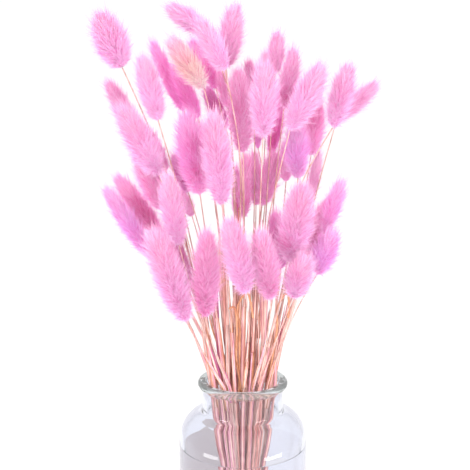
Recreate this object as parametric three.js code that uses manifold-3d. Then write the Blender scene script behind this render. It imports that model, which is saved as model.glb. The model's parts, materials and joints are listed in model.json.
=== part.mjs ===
// A bunch of dyed bunny tail grass standing in a clear glass jar with some water in it.
// Millimetres, +Z up. The origin is the centre of the jar's underside, and the viewer stands on the -Y side.
import * as THREE from 'three';
import { mergeVertices } from 'three/addons/utils/BufferGeometryUtils.js';
import Module from 'manifold-3d';

const wasm = await Module();
wasm.setup();

// Driving dimensions of the jar
const BODY_RADIUS = 52.9;
const NECK_RADIUS = 33.4;
const WALL = 3.8;
const FLOOR_THICKNESS = 6;
const FOOT_ROUNDING = 8;
const SHOULDER_START = 93;
const SHOULDER_END = 118.5;
const LIP_CENTRE_HEIGHT = 143;
const LIP_RADIUS = 3;
const LIP_REACH = 37;
const JAR_SIDES = 28;

// Driving dimensions of the water and of the clearance between neighbours
const WATER_LEVEL = 89.5;
const GAP = 0.3;
const HOLE_RADIUS_AT_FLOOR = 14.2;
const HOLE_RADIUS_AT_SURFACE = 24.6;

// Driving dimensions of the stems
const FOOT_SPACING = 1.55;
const FOOT_RADIUS = 1.75;
const SHEATH_RADIUS = 1.3;
const STALK_RADIUS = 0.55;
const MOUTH_HEIGHT = 147;
const MOUTH_REACH = NECK_RADIUS - WALL - SHEATH_RADIUS - 1.5;
const MOUTH_SPACING = 4.4;
const STEM_SPANS = 8;
const STEM_CLEARANCE = 0.7;
const STRAIGHT_UNDER_HEAD = 8;
const TUBE_SHARE = 0.8;

// A head whose base stands this far from the axis leans its stem on the mouth's rim
const FULL_LEAN_DISTANCE = 75;
const LEAN_POWER = 0.7;
const FOOT_REACH_SHARE = 0.4;

// Driving dimensions of the leaf blades
const BLADE_COUNT = 9;
const BLADE_WIDTH = 3.6;
const BLADE_THICKNESS = 0.8;
const BLADE_RINGS = 5;
const BLADE_STANDING_OFF = 5.5;
const BENT_LEAF_HALF_WIDTH = 1.1;
const BENT_LEAF_HALF_THICKNESS = 0.5;

// Driving dimensions of the heads
const SPIKELETS_ROUND = 6;
const VALLEY = 0.74;
const SEAT_RADIUS = 0.9;
const HEAD_CLEARANCE = 0.5;
const HEAD_RINGS = [0.07, 0.22, 0.38, 0.54, 0.7, 0.87];
const SPIKELET_RISE = 0.3;
const LEAN_WITH_DEPTH = 0.15;
const NECK_BALL_RADIUS = 1.4;

// How the layout settles: rounds, the share of an overlap that one round clears, and its longest step
const HEAD_ROUNDS = 160;
const HEAD_SHARE = 0.3;
const HEAD_STEP = 3;
const MOUTH_ROUNDS = 80;
const MOUTH_SHARE = 0.3;
const BEND_ROUNDS = 120;
const SMOOTHING_ROUNDS = 90;
const BEND_SHARE = 0.35;
const BEND_STEP = 1.5;
const BEND_UPRIGHT_SHARE = 0.2;
const SMOOTHING = 0.06;

// The line of sight: a photograph of 470 by 470 pixels, seen from a little above
const PICTURE_MIDDLE = 235;
const MOUTH_ROW = 383;
const FOCAL_PIXELS = 1000;
const EYE_DISTANCE = 800;
const LOOK_DOWN = THREE.MathUtils.degToRad(11.7);
const AIM = new THREE.Vector3(-6.4, 0, 267);
const AHEAD = new THREE.Vector3(0, Math.cos(LOOK_DOWN), -Math.sin(LOOK_DOWN));
const RIGHT = new THREE.Vector3(1, 0, 0);
const UPWARD = new THREE.Vector3(0, Math.sin(LOOK_DOWN), Math.cos(LOOK_DOWN));
const EYE = AIM.clone().addScaledVector(AHEAD, -EYE_DISTANCE);

// Each head: tip and base in pixels, width in pixels, depth of its base in millimetres behind the jar's axis,
// tone of its dye, and the pixels that its stalk passes where the photograph shows them
const HEADS = [
  { tip: [98, 10], base: [122, 67], width: 33, depth: -10, tone: 'pale', via: [[144, 100], [158, 132], [190, 215]] },
  { tip: [141, 53], base: [158, 120], width: 23, depth: -15, tone: 'pale', via: [[169, 155], [186, 195]] },
  { tip: [151, 40], base: [184, 111], width: 15, depth: 45, tone: 'deep', via: [[195, 140]] },
  { tip: [173, 63], base: [198, 118], width: 17, depth: 22, tone: 'deep' },
  { tip: [168, 36], base: [204, 88], width: 22, depth: -20, tone: 'salmon', via: [[218, 93], [228, 115]] },
  { tip: [165, 5], base: [206, 31], width: 21, depth: 10, tone: 'pale' },
  { tip: [197, 17], base: [225, 70], width: 22, depth: -18, tone: 'pale' },
  { tip: [191, 38], base: [216, 88], width: 19, depth: 50, tone: 'deep' },
  { tip: [236, 2], base: [226, 67], width: 23, depth: 20, tone: 'pink', via: [[230, 90], [234, 130], [240, 190]] },
  { tip: [205, 86], base: [226, 128], width: 16, depth: 55, tone: 'deep' },
  { tip: [219, 68], base: [228, 107], width: 13, depth: 40, tone: 'pink' },
  { tip: [238, 67], base: [243, 152], width: 24, depth: -5, tone: 'pink' },
  { tip: [249, 59], base: [254, 110], width: 16, depth: 35, tone: 'pink' },
  { tip: [265, 60], base: [263, 137], width: 26, depth: -35, tone: 'pale' },
  { tip: [278, 30], base: [275, 73], width: 16, depth: 30, tone: 'pink' },
  { tip: [295, 46], base: [284, 108], width: 18, depth: 8, tone: 'pink' },
  { tip: [283, 85], base: [271, 154], width: 15, depth: 45, tone: 'deep' },
  { tip: [324, 62], base: [290, 130], width: 26, depth: -32, tone: 'pale', via: [[281, 155], [272, 190]] },
  { tip: [315, 88], base: [311, 155], width: 23, depth: 30, tone: 'pink' },
  { tip: [350, 62], base: [333, 127], width: 23, depth: -15, tone: 'pale', via: [[303, 158], [272, 190]] },
  { tip: [379, 82], base: [337, 120], width: 17, depth: 15, tone: 'pink', via: [[321, 165], [312, 202]] },
  { tip: [295, 119], base: [298, 178], width: 23, depth: -5, tone: 'lilac' },
  { tip: [286, 140], base: [286, 181], width: 14, depth: 25, tone: 'pink' },
  { tip: [276, 150], base: [262, 205], width: 20, depth: 38, tone: 'pink' },
  { tip: [246, 152], base: [244, 217], width: 14, depth: 25, tone: 'pink' },
  { tip: [254, 150], base: [256, 205], width: 14, depth: 42, tone: 'pink' },
  { tip: [236, 165], base: [238, 224], width: 10, depth: 50, tone: 'deep' },
  { tip: [213, 109], base: [222, 204], width: 27, depth: -45, tone: 'pale' },
  { tip: [185, 110], base: [200, 194], width: 30, depth: -18, tone: 'lilac', via: [[202, 210]] },
  { tip: [106, 79], base: [143, 143], width: 18, depth: 25, tone: 'pink' },
  { tip: [119, 104], base: [159, 175], width: 28, depth: -22, tone: 'pale' },
  { tip: [147, 128], base: [166, 172], width: 14, depth: 32, tone: 'pink' },
  { tip: [137, 152], base: [163, 209], width: 24, depth: -5, tone: 'pink' },
  { tip: [104, 186], base: [151, 258], width: 18, depth: -5, tone: 'lilac' },
  { tip: [115, 174], base: [161, 238], width: 21, depth: 20, tone: 'pink' },
  { tip: [150, 227], base: [186, 321], width: 30, depth: -60, tone: 'pale', via: [[196, 335], [203, 358]] },
  { tip: [163, 225], base: [189, 290], width: 21, depth: -15, tone: 'pink' },
  { tip: [166, 172], base: [179, 245], width: 23, depth: -42, tone: 'pale' },
  { tip: [172, 153], base: [188, 192], width: 14, depth: 18, tone: 'deep', via: [[201, 207], [207, 228]] },
  { tip: [181, 190], base: [192, 216], width: 12, depth: 22, tone: 'pink' },
  { tip: [207, 229], base: [206, 316], width: 25, depth: -60, tone: 'pink' },
  { tip: [228, 217], base: [246, 293], width: 27, depth: -64, tone: 'pale' },
  { tip: [259, 228], base: [271, 299], width: 25, depth: -60, tone: 'pink' },
  { tip: [303, 182], base: [290, 262], width: 31, depth: -45, tone: 'pale' },
  { tip: [275, 210], base: [281, 268], width: 19, depth: -22, tone: 'deep' },
  { tip: [343, 178], base: [324, 232], width: 17, depth: -15, tone: 'lilac', via: [[302, 272], [287, 310]] },
  { tip: [328, 200], base: [306, 255], width: 20, depth: -5, tone: 'pink', via: [[291, 300]] },
  { tip: [334, 228], base: [317, 274], width: 24, depth: -35, tone: 'lilac', via: [[303, 290], [288, 325]] },
  { tip: [306, 253], base: [293, 297], width: 26, depth: -52, tone: 'pale' },
  { tip: [320, 150], base: [309, 203], width: 11, depth: 15, tone: 'pink', via: [[293, 250], [280, 310]] },
  { tip: [256, 110], base: [258, 148], width: 9, depth: 52, tone: 'deep' },
  { tip: [203, 122], base: [213, 190], width: 22, depth: 62, tone: 'pink' },
  { tip: [267, 50], base: [266, 120], width: 20, depth: 72, tone: 'pale' },
  { tip: [302, 195], base: [294, 250], width: 20, depth: 48, tone: 'pink' },
  { tip: [166, 240], base: [184, 298], width: 20, depth: 34, tone: 'pale' },
  { tip: [208, 240], base: [208, 302], width: 20, depth: 46, tone: 'pink' },
];

// Bent dry leaves, each by the pixels and the depths that it passes
const BENT_LEAVES = [
  { depth: -31, path: [[238, 372], [240, 330], [241, 299], [247, 293], [250, 300], [253, 318]] },
  { depth: -26, path: [[272, 372], [277, 330], [281, 300], [286, 294], [289, 303], [288, 318]] },
];

const TONES = { pale: 0xf2a8dc, pink: 0xe584bd, deep: 0xcf4f98, salmon: 0xf3a9a4, lilac: 0xea8fe0 };

// A number from 0 to 1 that is always the same for the same two counts
function draw(first, second) {
  const value = Math.sin(first * 12.9898 + second * 78.233) * 43758.5453;
  return value - Math.floor(value);
}

function mix(a, b, share) {
  return a + (b - a) * share;
}

function ease(low, high, value) {
  const t = Math.min(1, Math.max(0, (value - low) / (high - low)));
  return t * t * (3 - 2 * t);
}

// The point at a world depth that the photograph shows at a pixel
function seen(pixel, depth) {
  const ray = AHEAD.clone()
    .addScaledVector(RIGHT, (pixel[0] - PICTURE_MIDDLE) / FOCAL_PIXELS)
    .addScaledVector(UPWARD, (PICTURE_MIDDLE - pixel[1]) / FOCAL_PIXELS);
  return EYE.clone().addScaledVector(ray, (depth - EYE.y) / ray.y);
}

// A head's outline: its radius as a share of the largest, from its base at 0 to its tip at 1
function outline(along) {
  const s = Math.min(1, Math.max(0, along));
  return Math.pow(Math.sin(Math.PI * Math.pow(s, 0.8)), 0.5);
}

// The head in the world: base, axis, length and largest radius, leaning out with its depth
function placeHead(head, depth) {
  const base = seen(head.base, depth);
  const lean = depth * LEAN_WITH_DEPTH;
  const tip = seen(head.tip, depth + lean);
  const axis = tip.clone().sub(base);
  const length = axis.length();
  axis.normalize();
  const distance = base.clone().sub(EYE).dot(AHEAD);
  return { base, axis, length, radius: (head.width / 2) * (distance / FOCAL_PIXELS) };
}

// The balls that fill a head, and two small ones where its stalk meets it
const BALLS = [-0.22, -0.1, 0.08, 0.22, 0.36, 0.5, 0.64, 0.78, 0.91];
function ballsOf(placed) {
  return BALLS.map((s) => ({
    centre: placed.base.clone().addScaledVector(placed.axis, s * placed.length),
    radius: s < 0 ? NECK_BALL_RADIUS : placed.radius * outline(s),
  }));
}

// Heads move along their own lines of sight until no two touch
function settle() {
  const depths = HEADS.map((head) => head.depth);
  for (let round = 0; round < HEAD_ROUNDS; round += 1) {
    const balls = HEADS.map((head, i) => ballsOf(placeHead(head, depths[i])));
    const pushes = depths.map(() => 0);
    for (let i = 0; i < HEADS.length; i += 1) {
      for (let j = i + 1; j < HEADS.length; j += 1) {
        let overlap = 0;
        for (const a of balls[i]) {
          for (const b of balls[j]) {
            const reach = a.radius + b.radius + HEAD_CLEARANCE;
            overlap = Math.max(overlap, reach - a.centre.distanceTo(b.centre));
          }
        }
        const side = depths[i] < depths[j] ? -1 : 1;
        pushes[i] += side * overlap * HEAD_SHARE;
        pushes[j] -= side * overlap * HEAD_SHARE;
      }
    }
    pushes.forEach((push, i) => {
      depths[i] += Math.max(-HEAD_STEP, Math.min(HEAD_STEP, push));
    });
  }
  return HEADS.map((head, i) => placeHead(head, depths[i]));
}

// A smooth path through points, leaving along the first direction and arriving along the last
function smoothPath(points, leaving, arriving, count) {
  const directions = points.map((point, k) => {
    if (k === 0) return leaving;
    if (k === points.length - 1) return arriving;
    return points[k + 1].clone().sub(points[k - 1]).normalize();
  });
  const lengths = points.slice(1).map((point, k) => point.distanceTo(points[k]));
  const total = lengths.reduce((sum, length) => sum + length, 0);
  const path = [];
  for (let n = 0; n <= count; n += 1) {
    let along = (total * n) / count;
    let k = 0;
    while (k < lengths.length - 1 && along > lengths[k]) {
      along -= lengths[k];
      k += 1;
    }
    const t = Math.min(1, along / lengths[k]);
    const t2 = t * t;
    const t3 = t2 * t;
    path.push(new THREE.Vector3()
      .addScaledVector(points[k], 2 * t3 - 3 * t2 + 1)
      .addScaledVector(directions[k], (t3 - 2 * t2 + t) * lengths[k])
      .addScaledVector(points[k + 1], 3 * t2 - 2 * t3)
      .addScaledVector(directions[k + 1], (t3 - t2) * lengths[k]));
  }
  return path;
}

// The place at the jar's mouth that a stem leans towards, nearer the rim for a head further out
function mouthOf(placed) {
  const flat = new THREE.Vector3(placed.base.x, placed.base.y, 0);
  const reach = MOUTH_REACH * Math.pow(Math.min(1, flat.length() / FULL_LEAN_DISTANCE), LEAN_POWER);
  return flat.normalize().multiplyScalar(reach).setZ(MOUTH_HEIGHT);
}

// Stems at the mouth stand beside each other, none outside the reach that the neck leaves
function spread(mouths) {
  for (let round = 0; round < MOUTH_ROUNDS; round += 1) {
    const pushes = mouths.map(() => new THREE.Vector3());
    mouths.forEach((mouth, i) => {
      mouths.forEach((other, j) => {
        const away = mouth.clone().sub(other);
        const overlap = MOUTH_SPACING - away.length();
        if (i === j || overlap <= 0) return;
        pushes[i].addScaledVector(away.normalize(), overlap * MOUTH_SHARE);
      });
    });
    mouths.forEach((mouth, i) => {
      mouth.add(pushes[i]).setZ(0).clampLength(0, MOUTH_REACH).setZ(MOUTH_HEIGHT);
    });
  }
}

// Feet packed like seeds in a flower, each given to the stem whose mouth place lies nearest
function footPlaces(mouths) {
  const golden = Math.PI * (3 - Math.sqrt(5));
  const free = mouths.map((mouth, n) => {
    const radius = FOOT_SPACING * Math.sqrt(n + 0.3);
    return new THREE.Vector3(radius * Math.cos(n * golden), radius * Math.sin(n * golden), FLOOR_THICKNESS + GAP);
  });
  const order = mouths.map((mouth, i) => i).sort((a, b) => mouths[b].length() - mouths[a].length() || a - b);
  const feet = [];
  for (const i of order) {
    const wanted = mouths[i].clone().multiplyScalar(FOOT_REACH_SHARE).setZ(FLOOR_THICKNESS + GAP);
    let best = 0;
    free.forEach((place, k) => {
      if (place.distanceTo(wanted) < free[best].distanceTo(wanted)) best = k;
    });
    feet[i] = free.splice(best, 1)[0];
  }
  return feet;
}

// A path's points move clear of every head's balls, and its two ends stay
function bendClear(path, radii, heads, own) {
  const checks = [0, 0.25, 0.5, 0.75];
  for (let round = 0; round < BEND_ROUNDS; round += 1) {
    const pushes = path.map(() => new THREE.Vector3());
    for (let k = 0; k < path.length - 1; k += 1) {
      for (const t of checks) {
        const point = path[k].clone().lerp(path[k + 1], t);
        const radius = mix(radii[k], radii[k + 1], t) + STEM_CLEARANCE;
        heads.forEach((balls, h) => {
          if (h === own) return;
          for (const ball of balls) {
            const away = point.clone().sub(ball.centre);
            const overlap = ball.radius + radius - away.length();
            if (overlap <= 0) continue;
            away.setZ(away.z * BEND_UPRIGHT_SHARE).normalize();
            pushes[k].addScaledVector(away, overlap * (1 - t) * BEND_SHARE);
            pushes[k + 1].addScaledVector(away, overlap * t * BEND_SHARE);
          }
        });
      }
    }
    for (let k = 1; k < path.length - 1; k += 1) {
      path[k].add(pushes[k].clampLength(0, BEND_STEP));
    }
    if (round < SMOOTHING_ROUNDS) {
      for (let k = 1; k < path.length - 1; k += 1) {
        const middle = path[k - 1].clone().add(path[k + 1]).multiplyScalar(0.5);
        path[k].lerp(middle, SMOOTHING);
      }
    }
  }
}

// A four-sided solid along a path; across and through are its half sizes at each point
function sweep(path, across, through, facing) {
  const positions = [];
  path.forEach((point, k) => {
    const ahead = path[Math.min(k + 1, path.length - 1)].clone().sub(path[Math.max(k - 1, 0)]).normalize();
    const side = new THREE.Vector3().crossVectors(ahead, facing).normalize();
    const front = new THREE.Vector3().crossVectors(side, ahead).normalize();
    for (const [u, v] of [[-1, -1], [1, -1], [1, 1], [-1, 1]]) {
      const corner = point.clone().addScaledVector(side, u * across[k]).addScaledVector(front, v * through[k]);
      positions.push(corner.x, corner.y, corner.z);
    }
  });
  const faces = [[0, 2, 1], [0, 3, 2]];
  for (let k = 0; k < path.length - 1; k += 1) {
    for (let c = 0; c < 4; c += 1) {
      const a = 4 * k + c;
      const b = 4 * k + ((c + 1) % 4);
      faces.push([a, b, b + 4], [a, b + 4, a + 4]);
    }
  }
  const last = 4 * (path.length - 1);
  faces.push([last, last + 1, last + 2], [last, last + 2, last + 3]);
  return solidFrom(positions, faces);
}

// A closed mesh of shared points, turned right side out if its volume comes out negative
function solidFrom(positions, faces) {
  let volume = 0;
  const corner = (n) => new THREE.Vector3().fromArray(positions, 3 * n);
  for (const [a, b, c] of faces) {
    volume += corner(a).dot(corner(b).cross(corner(c)));
  }
  const index = faces.flatMap(([a, b, c]) => (volume < 0 ? [a, c, b] : [a, b, c]));
  const geometry = new THREE.BufferGeometry();
  geometry.setAttribute('position', new THREE.Float32BufferAttribute(positions, 3));
  geometry.setIndex(index);
  return geometry;
}

function toManifold(geometry) {
  const plain = geometry.clone();
  plain.deleteAttribute('normal');
  plain.deleteAttribute('uv');
  const merged = mergeVertices(plain, 1e-4);
  return new wasm.Manifold(new wasm.Mesh({
    numProp: 3,
    vertProperties: new Float32Array(merged.attributes.position.array),
    triVerts: new Uint32Array(merged.index.array),
  }));
}

function fromManifold(manifold) {
  const mesh = manifold.getMesh();
  const geometry = new THREE.BufferGeometry();
  geometry.setAttribute('position', new THREE.BufferAttribute(mesh.vertProperties, 3));
  geometry.setIndex(new THREE.BufferAttribute(mesh.triVerts, 1));
  return geometry;
}

function joinAll(geometries) {
  let solids = geometries.map(toManifold);
  while (solids.length > 1) {
    const next = [];
    for (let k = 0; k < solids.length; k += 2) {
      next.push(k + 1 < solids.length ? solids[k].add(solids[k + 1]) : solids[k]);
    }
    solids = next;
  }
  return fromManifold(solids[0]);
}

// A head: spikelets in staggered rings, each a four-sided point over the core, leaning towards the tip
function headGeometry(placed) {
  const { base, axis, length, radius } = placed;
  const side = new THREE.Vector3().crossVectors(axis, AHEAD).normalize();
  const front = new THREE.Vector3().crossVectors(side, axis).normalize();
  const turn = (2 * Math.PI) / SPIKELETS_ROUND;
  const points = [];
  const around = (s, reach, angle) => {
    const point = base.clone()
      .addScaledVector(axis, s * length)
      .addScaledVector(side, reach * Math.cos(angle))
      .addScaledVector(front, reach * Math.sin(angle));
    return points.push(point) - 1;
  };
  const levels = [0, ...HEAD_RINGS];
  const rings = levels.map((s, k) => {
    const reach = k === 0 ? SEAT_RADIUS : radius * outline(s) * VALLEY;
    return Array.from({ length: SPIKELETS_ROUND }, (_, j) => around(s, reach, (j + 0.5 * k) * turn));
  });
  const tip = around(1, 0, 0);
  const faces = [];
  for (let j = 1; j < SPIKELETS_ROUND - 1; j += 1) faces.push([rings[0][0], rings[0][j + 1], rings[0][j]]);
  // In ring k + 1, the place that stands over the gap after place j of ring k
  const above = (j) => j % SPIKELETS_ROUND;
  const next = (j) => (j + 1) % SPIKELETS_ROUND;
  for (let j = 0; j < SPIKELETS_ROUND; j += 1) {
    faces.push([rings[0][j], rings[0][next(j)], rings[1][above(j)]]);
  }
  for (let k = 1; k < rings.length; k += 1) {
    const upper = k + 1 < rings.length ? levels[k + 1] : 1;
    for (let j = 0; j < SPIKELETS_ROUND; j += 1) {
      const left = rings[k][j];
      const right = rings[k][next(j)];
      const low = rings[k - 1][next(j)];
      const high = k + 1 < rings.length ? rings[k + 1][above(j)] : tip;
      const s = mix(levels[k], upper, SPIKELET_RISE);
      const point = around(s, radius * outline(s), (j + 0.5 + 0.5 * k) * turn);
      faces.push([left, low, point], [low, right, point], [right, high, point], [high, left, point]);
    }
  }
  return solidFrom(points.flatMap((p) => [p.x, p.y, p.z]), faces);
}

// The jar's wall turned about its axis, outside first, from the underside's centre to the floor's centre
function jarGeometry() {
  const profile = [[0, 0], [BODY_RADIUS - FOOT_ROUNDING, 0]];
  for (const degrees of [30, 60, 90]) {
    const angle = THREE.MathUtils.degToRad(degrees);
    profile.push([
      BODY_RADIUS - FOOT_ROUNDING + FOOT_ROUNDING * Math.sin(angle),
      FOOT_ROUNDING - FOOT_ROUNDING * Math.cos(angle),
    ]);
  }
  for (const degrees of [0, 22, 45, 68, 85]) profile.push(shoulder(degrees, 0));
  profile.push([NECK_RADIUS, SHOULDER_END + 2]);
  profile.push([NECK_RADIUS, LIP_CENTRE_HEIGHT - LIP_RADIUS - 1]);
  const lipCentre = LIP_REACH - LIP_RADIUS;
  for (const degrees of [-60, -10, 40, 90]) {
    const angle = THREE.MathUtils.degToRad(degrees);
    profile.push([lipCentre + LIP_RADIUS * Math.cos(angle), LIP_CENTRE_HEIGHT + LIP_RADIUS * Math.sin(angle)]);
  }
  profile.push([NECK_RADIUS - WALL + 1.2, LIP_CENTRE_HEIGHT + LIP_RADIUS - 0.5]);
  profile.push([NECK_RADIUS - WALL, LIP_CENTRE_HEIGHT + LIP_RADIUS - 2]);
  profile.push([NECK_RADIUS - WALL, SHOULDER_END]);
  for (const degrees of [68, 45, 22, 0]) profile.push(shoulder(degrees, WALL));
  profile.push([BODY_RADIUS - WALL, FLOOR_THICKNESS + 4]);
  profile.push([BODY_RADIUS - WALL - 4, FLOOR_THICKNESS]);
  profile.push([0, FLOOR_THICKNESS]);
  return new THREE.LatheGeometry(profile.map(([r, z]) => new THREE.Vector2(r, z)), JAR_SIDES).rotateX(Math.PI / 2);
}

// A place on the round shoulder, from the body's side at 0 degrees up to the neck's foot at 90
function shoulder(degrees, inset) {
  const angle = THREE.MathUtils.degToRad(degrees);
  const rise = SHOULDER_END - SHOULDER_START - inset;
  const run = BODY_RADIUS - NECK_RADIUS;
  return [NECK_RADIUS - inset + run * Math.cos(angle), SHOULDER_START + rise * Math.sin(angle)];
}

// The water fills the jar to its level, round one plain hole that the stems stand in
function waterGeometry() {
  const outer = BODY_RADIUS - WALL - GAP;
  const bottom = FLOOR_THICKNESS + GAP;
  const profile = [
    [HOLE_RADIUS_AT_FLOOR, bottom],
    [outer - 4.2, bottom],
    [outer, bottom + 4.2],
    [outer, WATER_LEVEL],
    [HOLE_RADIUS_AT_SURFACE, WATER_LEVEL],
    [HOLE_RADIUS_AT_FLOOR, bottom],
  ];
  return new THREE.LatheGeometry(profile.map(([r, z]) => new THREE.Vector2(r, z)), JAR_SIDES).rotateX(Math.PI / 2);
}

// Each stem stands on its foot, leans on the mouth and curves up into the base of its head
const placedHeads = settle();
const headBalls = placedHeads.map(ballsOf);
const mouths = placedHeads.map(mouthOf);
spread(mouths);
const feet = footPlaces(mouths);
const stems = placedHeads.map((placed, i) => {
  const end = placed.base.clone().addScaledVector(placed.axis, -GAP);
  const mouth = mouths[i];
  const leaving = mouth.clone().sub(feet[i]).normalize();
  const passed = (HEADS[i].via || []).map((pixel) => {
    const share = (pixel[1] - HEADS[i].base[1]) / (MOUTH_ROW - HEADS[i].base[1]);
    return seen(pixel, mix(placed.base.y, mouth.y, share));
  });
  const before = end.clone().addScaledVector(placed.axis, -STRAIGHT_UNDER_HEAD);
  const path = smoothPath([mouth, ...passed.reverse(), before], leaving, placed.axis, STEM_SPANS - 1);
  path.push(end);
  const radii = path.map((point, k) => mix(SHEATH_RADIUS, STALK_RADIUS, ease(0.1, 0.6, k / STEM_SPANS)));
  bendClear(path, radii, headBalls, i);
  return { path: [feet[i], ...path], radii: [FOOT_RADIUS, ...radii] };
});

// Each leaf blade leaves a stem inside its sheath, stands off it and narrows to its tip
function blade(n) {
  const stem = stems[(n * 7 + 3) % stems.length];
  const start = 1.2 + 1.6 * draw(n, 1);
  const reach = 2.2 + 1.6 * draw(n, 2);
  const out = new THREE.Vector3(draw(n, 3) - 0.5, draw(n, 4) - 0.5, 0).normalize();
  const path = [];
  for (let k = 0; k < BLADE_RINGS; k += 1) {
    const along = start + (reach * k) / (BLADE_RINGS - 1);
    const whole = Math.min(Math.floor(along), stem.path.length - 2);
    const point = stem.path[whole].clone().lerp(stem.path[whole + 1], along - whole);
    path.push(point.addScaledVector(out, BLADE_STANDING_OFF * Math.pow(k / (BLADE_RINGS - 1), 1.4)));
  }
  const width = BLADE_WIDTH * (0.8 + 0.4 * draw(n, 5));
  const across = path.map((point, k) => (width / 2) * (1 - 0.65 * Math.pow(k / (BLADE_RINGS - 1), 3)));
  const through = path.map(() => BLADE_THICKNESS / 2);
  bendClear(path, across, headBalls, -1);
  return sweep(path, across, through, out);
}

// A bent leaf grows out of the stem that passes nearest to its first point
function bentLeaf(leaf) {
  const path = leaf.path.map((pixel) => seen(pixel, leaf.depth));
  let root = stems[0].path[2];
  for (const stem of stems) {
    for (let k = 1; k < 4; k += 1) {
      const place = stem.path[k].clone().lerp(stem.path[k + 1], 0.3);
      if (place.distanceTo(path[0]) < root.distanceTo(path[0])) root = place;
    }
  }
  path.unshift(root);
  const across = path.map(() => BENT_LEAF_HALF_WIDTH);
  const through = path.map(() => BENT_LEAF_HALF_THICKNESS);
  return sweep(path, across, through, new THREE.Vector3(0, 1, 0));
}

function stemsGeometry() {
  const facing = new THREE.Vector3(0, 1, 0);
  const tubes = stems.map(({ path, radii }) => {
    const half = radii.map((radius) => radius * TUBE_SHARE);
    return sweep(path, half, half, facing);
  });
  const blades = Array.from({ length: BLADE_COUNT }, (_, n) => blade(n));
  return joinAll([...tubes, ...blades, ...BENT_LEAVES.map(bentLeaf)]);
}

// The scene graph
const bunch = new THREE.Group();

function addPiece(name, geometry, color, roughness, extra = {}) {
  const material = new THREE.MeshStandardMaterial({ color, roughness, metalness: 0, ...extra });
  const piece = new THREE.Mesh(geometry, material);
  piece.name = name;
  bunch.add(piece);
}

addPiece('jar', jarGeometry(), 0xe6ebf2, 0.05, { transparent: true, opacity: 0.35 });
addPiece('water', waterGeometry(), 0xe2e6ef, 0.02, { transparent: true, opacity: 0.3 });
addPiece('stems', stemsGeometry(), 0xeeb6a4, 0.8);
placedHeads.forEach((placed, i) => {
  addPiece(`head_${String(i + 1).padStart(2, '0')}`, headGeometry(placed), TONES[HEADS[i].tone], 0.95);
});

export default bunch;
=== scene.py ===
"""A bunch of dyed bunny tail grass in a glass jar of water: its looks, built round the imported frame."""
import json
import math

import bpy
import numpy as np
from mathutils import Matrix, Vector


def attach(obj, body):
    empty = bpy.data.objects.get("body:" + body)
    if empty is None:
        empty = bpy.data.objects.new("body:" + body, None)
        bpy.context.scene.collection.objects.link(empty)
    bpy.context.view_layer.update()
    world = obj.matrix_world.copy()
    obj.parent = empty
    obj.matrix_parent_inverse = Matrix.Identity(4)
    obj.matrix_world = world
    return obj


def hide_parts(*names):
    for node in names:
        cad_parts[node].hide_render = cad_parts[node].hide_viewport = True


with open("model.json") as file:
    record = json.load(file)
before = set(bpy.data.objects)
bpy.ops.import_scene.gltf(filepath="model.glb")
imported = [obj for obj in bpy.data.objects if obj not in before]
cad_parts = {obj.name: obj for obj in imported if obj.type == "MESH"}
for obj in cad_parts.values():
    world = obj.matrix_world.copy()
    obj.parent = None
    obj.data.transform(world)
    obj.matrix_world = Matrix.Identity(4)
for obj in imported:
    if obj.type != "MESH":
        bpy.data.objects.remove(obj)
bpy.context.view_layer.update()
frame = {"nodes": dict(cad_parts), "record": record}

MM = 0.001
RNG = np.random.default_rng(7)
GOLDEN_ANGLE = math.pi * (3 - math.sqrt(5))

# The line of sight of the photograph, which has 470 by 470 pixels
PICTURE_SIDE = 470
FOCAL_PIXELS = 1000
EYE_DISTANCE = 800
LOOK_DOWN = math.radians(11.7)
AIM = np.array([-6.4, 0.0, 267.0])
AHEAD = np.array([0, math.cos(LOOK_DOWN), -math.sin(LOOK_DOWN)])
RIGHT = np.array([1.0, 0, 0])
UPWARD = np.array([0, math.sin(LOOK_DOWN), math.cos(LOOK_DOWN)])
EYE = AIM - EYE_DISTANCE * AHEAD

# Sizes of the jar and water in millimetres, as in the solids
BODY_RADIUS = 52.9
NECK_RADIUS = 33.4
WALL = 3.8
FLOOR_THICKNESS = 6
FOOT_ROUNDING = 8
SHOULDER_START = 93
SHOULDER_END = 118.5
LIP_CENTRE_HEIGHT = 143
LIP_RADIUS = 3
LIP_REACH = 37
WATER_LEVEL = 89.5

# The finer form of the glass and water, in millimetres, and how they look
INNER_SHOULDER_RISE = 21.4
OUTER_FILLET = 3
INNER_FILLET = 7
FLOOR_FILLET = 6
FOOT_RISE = 0.9
MENISCUS = 1.2
WATER_BITE = 0.08
GLASS_REFRACTION = 1.5
RIM_CLEARNESS = 0.86
WATER_REFRACTION = 1.07
GLASS_TINT = (243, 244, 249)
RIM_TINT = (202, 208, 204)
WATER_TINT = (251, 250, 251)
TURN_STEPS = 96

# Sizes of the stems in millimetres, as in the solids
GAP = 0.3
FOOT_SPACING = 1.55
FOOT_RADIUS = 1.75
SHEATH_RADIUS = 1.3
STALK_RADIUS = 0.55
MOUTH_HEIGHT = 147
MOUTH_REACH = NECK_RADIUS - WALL - SHEATH_RADIUS - 1.5
MOUTH_SPACING = 4.4
MOUTH_ROW = 383
STEM_SPANS = 8
STEM_CLEARANCE = 0.7
LONGEST_BEND = 45
FINE_STEP = 8
STRAIGHT_UNDER_HEAD = 8
FULL_LEAN_DISTANCE = 75
LEAN_POWER = 0.7
FOOT_REACH_SHARE = 0.4
NECK_BALL_RADIUS = 1.4
BLADE_RINGS = 5
BLADE_WIDTH = 3.6
BLADE_STANDING_OFF = 5.5
BLADES_IN_SOLID = 9
BLADES = 78
NARROW_BLADE_WIDTH = 2.4
STRANDS_ON_STEM = 3
STRAND_HALF_WIDTH = 0.5
STRAND_STANDING_OFF = 1.25

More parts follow.
